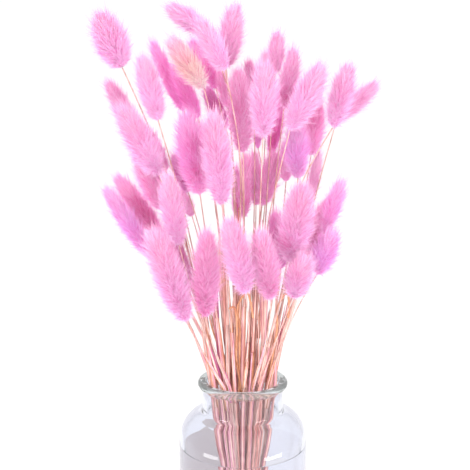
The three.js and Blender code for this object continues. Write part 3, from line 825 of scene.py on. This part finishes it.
def stem_paths():
    mouths = mouth_places()
    feet = foot_places(mouths)
    stems = []
    for i, head in enumerate(HEADS):
        base, axis = head["base"], head["axis"]
        end = base - axis * GAP
        mouth = mouths[i]
        low = (base - EYE) @ UPWARD / ((base - EYE) @ AHEAD)
        base_row = PICTURE_SIDE / 2 - FOCAL_PIXELS * low
        passed = []
        for pixel in PASSED.get(i + 1, []):
            share = (pixel[1] - base_row) / (MOUTH_ROW - base_row)
            passed.insert(0, seen(pixel, base[1] + (mouth[1] - base[1]) * share))
        points = [mouth, *passed, end - axis * STRAIGHT_UNDER_HEAD]
        path = smooth_path(points, unit(mouth - feet[i]), axis, STEM_SPANS - 1)
        path = np.vstack([path, end])
        share = ease(0.1, 0.6, np.arange(len(path)) / STEM_SPANS)
        radii = SHEATH_RADIUS + (STALK_RADIUS - SHEATH_RADIUS) * share
        bend_clear(path, radii, i)
        stems.append((np.vstack([feet[i], path]), np.append(FOOT_RADIUS, radii)))
    return stems


def finer(path, values, steps):
    """A smooth curve through a path's points, bent over its short and its long spans, with its values."""
    spans = np.linalg.norm(np.diff(path, axis=0), axis=1)
    ahead = np.diff(path, axis=0) / spans[:, None]
    inner = unit(ahead[1:] * spans[:-1, None] + ahead[:-1] * spans[1:, None])
    slope = np.vstack([ahead[0], inner, ahead[-1]])
    points, carried = [], []
    for k, span in enumerate(spans):
        reach = min(span, LONGEST_BEND)
        count = max(steps, round(span / FINE_STEP))
        for t in np.arange(count) / count:
            points.append(
                path[k] * (2 * t**3 - 3 * t**2 + 1)
                + slope[k] * reach * (t**3 - 2 * t**2 + t)
                + path[k + 1] * (3 * t**2 - 2 * t**3)
                + slope[k + 1] * reach * (t**3 - t**2)
            )
            carried.append(values[k] * (1 - t) + values[k + 1] * t)
    return np.vstack([*points, path[-1]]), np.append(carried, values[-1])


class Bundle:
    """Collects tubes and ribbons, each with its own straw, for one mesh."""

    def __init__(self):
        self.points, self.quads, self.slots, self.edges, self.count = [], [], [], [], 0

    def sweep(self, path, sections, slot, facing=None):
        """A closed strip through rings of (across, through) offsets, one ring for each point of the path."""
        ahead = unit(np.gradient(path, axis=0))
        facing = np.array([0.0, 1, 0]) if facing is None else facing
        side = unit(np.cross(ahead, facing))
        front = np.cross(side, ahead)
        rings = path[:, None] + sections[..., :1] * side[:, None] + sections[..., 1:] * front[:, None]
        steps, corners = sections.shape[:2]
        index = self.count + np.arange(steps * corners).reshape(steps, corners)
        beside = np.roll(index, -1, axis=1)
        quads = np.stack([index[:-1], beside[:-1], beside[1:], index[1:]], 2).reshape(-1, 4)
        half = corners // 2
        for ring, order in ((index[0], 1), (index[-1], -1)):
            for k in range(1, half):
                cap = [ring[k - 1], ring[k], ring[corners - 1 - k], ring[corners - k]]
                quads = np.vstack([quads, cap[::-1] if order == 1 else cap])
        across = abs(sections[..., 0])
        self.edges.append((across / across.max(1, keepdims=True)).ravel())
        self.points.append(rings.reshape(-1, 3))
        self.quads.append(quads)
        self.slots.append(np.full(len(quads), slot))
        self.count += steps * corners

    def tube(self, path, radii, slot, sides=6, ridges=0.0, wide=1.0, flat=1.0, facing=None):
        angle = (np.arange(sides) + 0.5) * 2 * math.pi / sides
        reach = radii[:, None] * (1 + ridges * np.cos(angle * sides / 2))
        sections = np.stack([wide * reach * np.cos(angle), flat * reach * np.sin(angle)], 2)
        self.sweep(path, sections, slot, facing)

    def ribbon(self, path, half_widths, slot, facing, fold=0.35, thickness=0.22):
        """A thin leaf blade, folded along its rib."""
        w = half_widths[:, None] * np.array([-1, 0, 1, 1, 0, -1])
        lift = half_widths[:, None] * fold * np.array([0, -1, 0, 0, -1, 0])
        t = thickness / 2 * np.array([-1, -1, -1, 1, 1, 1])
        self.sweep(path, np.stack([w, lift + t], 2), slot, facing)

    def mesh(self, name, materials):
        points, quads = np.vstack(self.points), [np.vstack(self.quads)]
        slots, edges = np.concatenate(self.slots), np.concatenate(self.edges)
        return build(name, points, quads, materials, slots=slots, edges=edges)


STRAW_ORDER = list(STRAWS)


def straw_for(path, n, k, high=False):
    """The straw of the column in which a path passes the row above the jar."""
    pixels = pixels_of(path)
    column = pixels[np.argmin(abs(pixels[:, 1] - STRAW_ROW)), 0]
    for limit, low_kinds, high_kinds in STRAW_COLUMNS:
        if column < limit:
            break
    kinds = high_kinds if high else low_kinds
    return STRAW_ORDER.index(kinds[int(3 * draw(n, k))])


def build_stems(stems):
    straws = [straw_material(kind) for kind in STRAW_ORDER]
    stalks, sheaths, blades = Bundle(), Bundle(), Bundle()
    for n, (path, radii) in enumerate(stems):
        line, widths = finer(path, radii, STEM_STEPS)
        stalks.tube(line, np.minimum(widths, WIDEST_STALK) * STALK_SHARE, STRAW_ORDER.index("stalk"))
        height = line[:, 2]
        joint = FIRST_JOINT[0] + FIRST_JOINT[1] * draw(n, 11)
        second = SECOND_JOINT[0] + SECOND_JOINT[1] * draw(n, 14)
        top = SHEATH_TOPS.get(n + 1, SHEATH_TOP[0] + SHEATH_TOP[1] * draw(n, 12))
        wide = 0.82 + 0.36 * draw(n, 15)
        turn = math.pi / 2 + 1.1 * (draw(n, 16) - 0.5)
        facing = np.array([math.cos(turn), math.sin(turn), 0])
        in_jar = STRAW_ORDER.index(STRAWS_IN_JAR[int(5 * draw(n, 17))])
        lengths = (
            (0, joint, in_jar),
            (joint - 2, min(second, top), straw_for(line, n, 13)),
            (second - 2, top, straw_for(line, n, 18, high=True)),
        )
        for low, high, slot in lengths:
            part = (height >= low) & (height <= high)
            if part.sum() < 4:
                continue
            swell = 1.02 + SHEATH_SWELL * np.exp(-(((height[part] - low) / SWELL_LENGTH) ** 2))
            swell *= 1 - SHEATH_NARROWING * ease(high - NARROWING_LENGTH, high, height[part])
            section = (SHEATH_SIDES, SHEATH_RIDGES, wide, SHEATH_FLATNESS, facing)
            sheaths.tube(line[part], widths[part] * swell, slot, *section)
            if low < second - 2:
                for k in range(STRANDS_ON_STEM):
                    add_strand(blades, line[part], n, k, slot)
    for n in range(BLADES):
        add_blade(blades, stems, n)
    for depth, kind, pixels in BENT_LEAVES:
        depths = np.interp(np.arange(len(pixels)), [0, 2], [LEAF_ROOT_DEPTH, depth])
        path = np.array([seen(*place) for place in zip(pixels, depths)])
        line, widths = finer(path, np.full(len(path), BENT_LEAF_HALF_WIDTH), LEAF_STEPS)
        blades.ribbon(line, widths, STRAW_ORDER.index(kind), np.array([0.0, 1, 0]))
    for bundle, name in ((stalks, "stalks"), (sheaths, "sheaths"), (blades, "leaf_blades")):
        piece = bundle.mesh(name, straws)
        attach(piece, "root")
        if name == "stalks":
            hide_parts("stems")


def add_strand(bundle, line, n, k, beside):
    """A thin split of a sheath that runs along a stem and wanders round it."""
    kinds = STRANDS_IN_JAR if line[0][2] < MOUTH_HEIGHT - 40 else STRANDS_ABOVE
    slot = STRAW_ORDER.index(kinds[int(len(kinds) * draw(n + 60 * k, 31))])
    if slot == beside:
        slot = STRAW_ORDER.index("salmon")
    steps = np.linspace(0, 1, len(line))
    turn = 2 * math.pi * (draw(n, 32 + k) + (draw(n, 35 + k) - 0.5) * 0.5 * steps)
    out = np.stack([np.cos(turn), np.sin(turn), np.zeros(len(turn))], 1)
    half = STRAND_HALF_WIDTH * (0.7 + 0.7 * draw(n, 38 + k)) * (1 - 0.6 * ease(0.8, 1, steps))
    bundle.ribbon(line + out * STRAND_STANDING_OFF, half, slot, np.array([0.0, 1, 0]))


def add_blade(bundle, stems, n):
    """A leaf blade that leaves its stem inside the sheath, stands off it and narrows to its tip."""
    path, _ = stems[(n * 7 + 3) % len(stems)]
    start = 1.2 + 1.6 * draw(n, 1)
    reach = 2.2 + 1.6 * draw(n, 2)
    out = unit(np.array([draw(n, 3) - 0.5, draw(n, 4) - 0.5, 0]))
    width = BLADE_WIDTH
    if n >= BLADES_IN_SOLID:
        width = NARROW_BLADE_WIDTH
        start -= 0.5
        if out @ path[1] > 0:
            out = -out
    share = np.arange(BLADE_RINGS) / (BLADE_RINGS - 1)
    along = start + reach * share
    whole = np.minimum(np.floor(along).astype(int), len(path) - 2)
    rest = (along - whole)[:, None]
    standing_off = (BLADE_STANDING_OFF * share**1.4)[:, None]
    points = path[whole] * (1 - rest) + path[whole + 1] * rest + out * standing_off
    half = width * (0.8 + 0.4 * draw(n, 5)) / 2 * (1 - 0.65 * share**3)
    bend_clear(points, half, -1)
    line, widths = finer(points, half, BLADE_STEPS)
    widths *= 0.3 + 0.7 * ease(0, 0.22, np.linspace(0, 1, len(widths)))
    bundle.ribbon(line, widths, straw_for(path, n, 21, high=points[0][2] > 190), out)


# The jar and its water


def shoulder(degrees, inset=0.0, rise=SHOULDER_END - SHOULDER_START):
    angle = math.radians(degrees)
    run = BODY_RADIUS - NECK_RADIUS
    return (NECK_RADIUS - inset + run * math.cos(angle), SHOULDER_START + rise * math.sin(angle))


def arc(centre, radius, start, stop, steps):
    angles = np.radians(np.linspace(start, stop, steps))
    return [(centre[0] + radius * math.cos(a), centre[1] + radius * math.sin(a)) for a in angles]


def build_jar():
    """The jar's wall in one turned profile; the faces of its rim have the greyer glass of a thick edge."""
    inner = BODY_RADIUS - WALL
    lip = (LIP_REACH - LIP_RADIUS, LIP_CENTRE_HEIGHT)
    neck_inside = NECK_RADIUS - WALL
    lip_foot = LIP_CENTRE_HEIGHT - LIP_RADIUS - 1
    foot = BODY_RADIUS - FOOT_ROUNDING
    inner_end = SHOULDER_START + INNER_SHOULDER_RISE
    profile = [(0, FOOT_RISE), (foot - 12, FOOT_RISE - 0.1), (foot - 9, FOOT_RISE - 0.4), (foot - 6, 0)]
    profile += arc((foot, FOOT_ROUNDING), FOOT_ROUNDING, -90, 0, 9)
    profile += [(BODY_RADIUS, z) for z in (12, 30, 60, 80, 90)]
    profile += [shoulder(d) for d in range(0, 73, 6)]
    profile += arc((NECK_RADIUS + OUTER_FILLET, SHOULDER_END + 2.6), OUTER_FILLET, 250, 180, 7)
    profile += [(NECK_RADIUS, z) for z in (SHOULDER_END + 4, 130, lip_foot - 0.8)]
    profile += arc((NECK_RADIUS + 0.6, lip_foot - 0.2), 0.6, 180, 110, 4)
    profile += arc(lip, LIP_RADIUS, -76, 90, 14)
    profile += arc((neck_inside + 2, LIP_CENTRE_HEIGHT + LIP_RADIUS - 2), 2, 90, 180, 6)
    profile += [(neck_inside, LIP_CENTRE_HEIGHT), (neck_inside, 130)]
    profile += arc((neck_inside + INNER_FILLET, inner_end + 6), INNER_FILLET, 180, 245, 9)
    profile += [shoulder(d, WALL, INNER_SHOULDER_RISE) for d in range(66, -1, -6)]
    profile += [(inner, z) for z in (90, 80, 60, 30, 13)]
    profile += arc((inner - FLOOR_FILLET, FLOOR_THICKNESS + FLOOR_FILLET), FLOOR_FILLET, 0, -90, 8)
    profile += [(inner - FLOOR_FILLET - 1, FLOOR_THICKNESS), (20, FLOOR_THICKNESS)]
    profile += [(0, FLOOR_THICKNESS + 0.5)]
    points, faces = turned(profile)
    heights = np.array(points)[:, 2]
    rim = [(heights[f].min(1) > lip_foot).astype(int) for f in map(np.array, faces)]
    glass = clear_material("jar_glass", linear(*GLASS_TINT), GLASS_REFRACTION)
    rim_glass = clear_material("jar_rim_glass", linear(*RIM_TINT), GLASS_REFRACTION, RIM_CLEARNESS)
    piece = build("glass_jar", points, faces, [glass, rim_glass], slots=np.concatenate(rim))
    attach(piece, "root")
    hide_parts("jar")


def build_water():
    """Water that reaches a hair into the glass all round, with a small meniscus."""
    outer = BODY_RADIUS - WALL + WATER_BITE
    floor = FLOOR_THICKNESS - WATER_BITE
    profile = [(0, floor), (20, floor), (outer - FLOOR_FILLET - 1, floor)]
    profile += arc((outer - FLOOR_FILLET, floor + FLOOR_FILLET), FLOOR_FILLET, -90, 0, 8)
    profile += [(outer, z) for z in (13, 30, 60, WATER_LEVEL + 0.8, WATER_LEVEL + MENISCUS)]
    profile += arc((outer - MENISCUS, WATER_LEVEL + MENISCUS), MENISCUS, -10, -90, 6)
    profile += [(outer - 1.6, WATER_LEVEL), (outer - 3, WATER_LEVEL), (20, WATER_LEVEL), (0, WATER_LEVEL)]
    points, faces = turned(profile)
    water = clear_material("water", linear(*WATER_TINT), WATER_REFRACTION)
    piece = build("jar_water", points, faces, [water])
    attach(piece, "root")
    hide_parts("water")


# Floor, light and camera

FLOOR_SHADE = 0.585
FLOOR_HALF_SIDE = 60000
FLOOR_DROP = 0.2
# The world's light as rays see it straight, and as it falls on things
SEEN_LIGHT = 1.03
SHED_LIGHT = 1.8
# Lamps: name, place and aim in metres, size in metres and power in watts
LAMPS = [
    ("key", (-0.9, -1.3, 1.3), (0, 0, 0.3), 0.9, 12),
    ("low", (0.1, -0.8, 0.04), (0, 0, 0.32), 0.5, 5.5),
    ("front", (0.05, -1.25, 0.62), (0, 0, 0.33), 0.5, 5),
]
# Strips of light for the glass: name, place, width, height and power, in the same units
GLINTS = [
    ("left_glint", (-0.324, -0.235, 0.0), 0.2, 0.13, 0.65),
    ("right_glint", (0.311, -0.252, 0.0), 0.24, 0.13, 0.8),
]
# Curtains in millimetres: name, shade, and the heights of the foot and the top
CURTAIN_RADIUS = 115
CURTAINS = [
    ("curtain_low", (1.04, 1.05, 1.1, 1), 0, 93),
    ("curtain_high", (0.84, 0.83, 0.9, 1), 93, 190),
]
GREY_SHADE = linear(212, 201, 200)
# The grey card's folds from left to right, in millimetres: across, deep and the height of the top
GREY_FOLDS = [(-65, 85, 62.3), (-31.4, 51.4, 89.5), (-28, 48, 88.2), (-18, 52, 79.5)]


def build_stage():
    material, _, shader = new_material("floor_white")
    shader.inputs["Base Color"].default_value = (FLOOR_SHADE, FLOOR_SHADE, FLOOR_SHADE, 1)
    shader.inputs["Roughness"].default_value = 0.9
    corners = [(-1, -1), (1, -1), (1, 1), (-1, 1)]
    points = [(x * FLOOR_HALF_SIDE, y * FLOOR_HALF_SIDE, -FLOOR_DROP) for x, y in corners]
    build("floor", points, [[(0, 1, 2, 3)]], [material])


def build_cards():
    """The pale ground and the grey card that the photograph shows through the glass alone."""
    for name, shade, foot, top in CURTAINS:
        points, faces = turned([(CURTAIN_RADIUS, foot), (CURTAIN_RADIUS, top)])
        add_card(name, shade, points, faces)
    points = [(x, y, 0) for x, y, top in GREY_FOLDS] + GREY_FOLDS
    side = len(GREY_FOLDS)
    add_card("card_grey", GREY_SHADE, points, [[(k, k + 1, side + k + 1, side + k) for k in range(side - 1)]])


def add_card(name, shade, points, faces):
    """A sheet that shines in its own shade, and that only rays which have passed through glass see."""
    material, _, shader = new_material(name)
    shader.inputs["Base Color"].default_value = (0, 0, 0, 1)
    shader.inputs["Specular IOR Level"].default_value = 0
    shader.inputs["Emission Color"].default_value = shade
    shader.inputs["Emission Strength"].default_value = 1
    card = build(name, points, faces, [material])
    for kind in ("camera", "diffuse", "glossy", "shadow"):
        setattr(card, f"visible_{kind}", False)


def add_lamp(name, place, aim, size, power):
    data = bpy.data.lights.new(name, "AREA")
    data.shape = "DISK"
    data.size = size
    data.energy = power
    lamp = bpy.data.objects.new(name, data)
    bpy.context.scene.collection.objects.link(lamp)
    lamp.location = place
    direction = Vector(aim) - Vector(place)
    lamp.rotation_euler = direction.to_track_quat("-Z", "Y").to_euler()
    for kind in ("camera", "glossy", "transmission"):
        setattr(lamp, f"visible_{kind}", False)
    return lamp


def add_glint(name, place, wide, high, power):
    """A strip of light that only shines back from the glass."""
    lamp = add_lamp(name, place, (0, 0, place[2]), wide, power)
    lamp.data.shape = "RECTANGLE"
    lamp.data.size_y = high
    lamp.visible_diffuse = False
    lamp.visible_glossy = True


def light():
    world = bpy.data.worlds.new("studio")
    bpy.context.scene.world = world
    world.use_nodes = True
    world.cycles.sampling_method = "NONE"
    tree = world.node_tree
    tree.nodes["Background"].inputs["Color"].default_value = (1, 1, 1, 1)
    rays = tree.nodes.new("ShaderNodeLightPath")
    spread = tree.nodes.new("ShaderNodeMath")
    spread.operation = "MAXIMUM"
    tree.links.new(rays.outputs["Is Diffuse Ray"], spread.inputs[0])
    tree.links.new(rays.outputs["Diffuse Depth"], spread.inputs[1])
    shed = tree.nodes.new("ShaderNodeMapRange")
    shed.inputs["To Min"].default_value = SEEN_LIGHT
    shed.inputs["To Max"].default_value = SHED_LIGHT
    tree.links.new(spread.outputs["Value"], shed.inputs["Value"])
    tree.links.new(shed.outputs["Result"], tree.nodes["Background"].inputs["Strength"])
    for lamp in LAMPS:
        add_lamp(*lamp)
    for glint in GLINTS:
        add_glint(*glint)
    scene = bpy.context.scene
    scene.view_settings.view_transform = "Standard"
    scene.cycles.max_bounces = 32
    scene.cycles.diffuse_bounces = 12
    scene.cycles.glossy_bounces = 16
    scene.cycles.transmission_bounces = 32


def aim_camera():
    data = bpy.data.cameras.new("camera")
    camera = bpy.data.objects.new("camera", data)
    bpy.context.scene.collection.objects.link(camera)
    camera.location = EYE * MM
    camera.rotation_euler = (math.pi / 2 - LOOK_DOWN, 0, 0)
    data.angle = 2 * math.atan(PICTURE_SIDE / 2 / FOCAL_PIXELS)
    data.clip_end = 50
    bpy.context.scene.camera = camera


aim_camera()
light()
build_stage()
build_cards()
build_jar()
build_water()
build_stems(stem_paths())
build_heads()
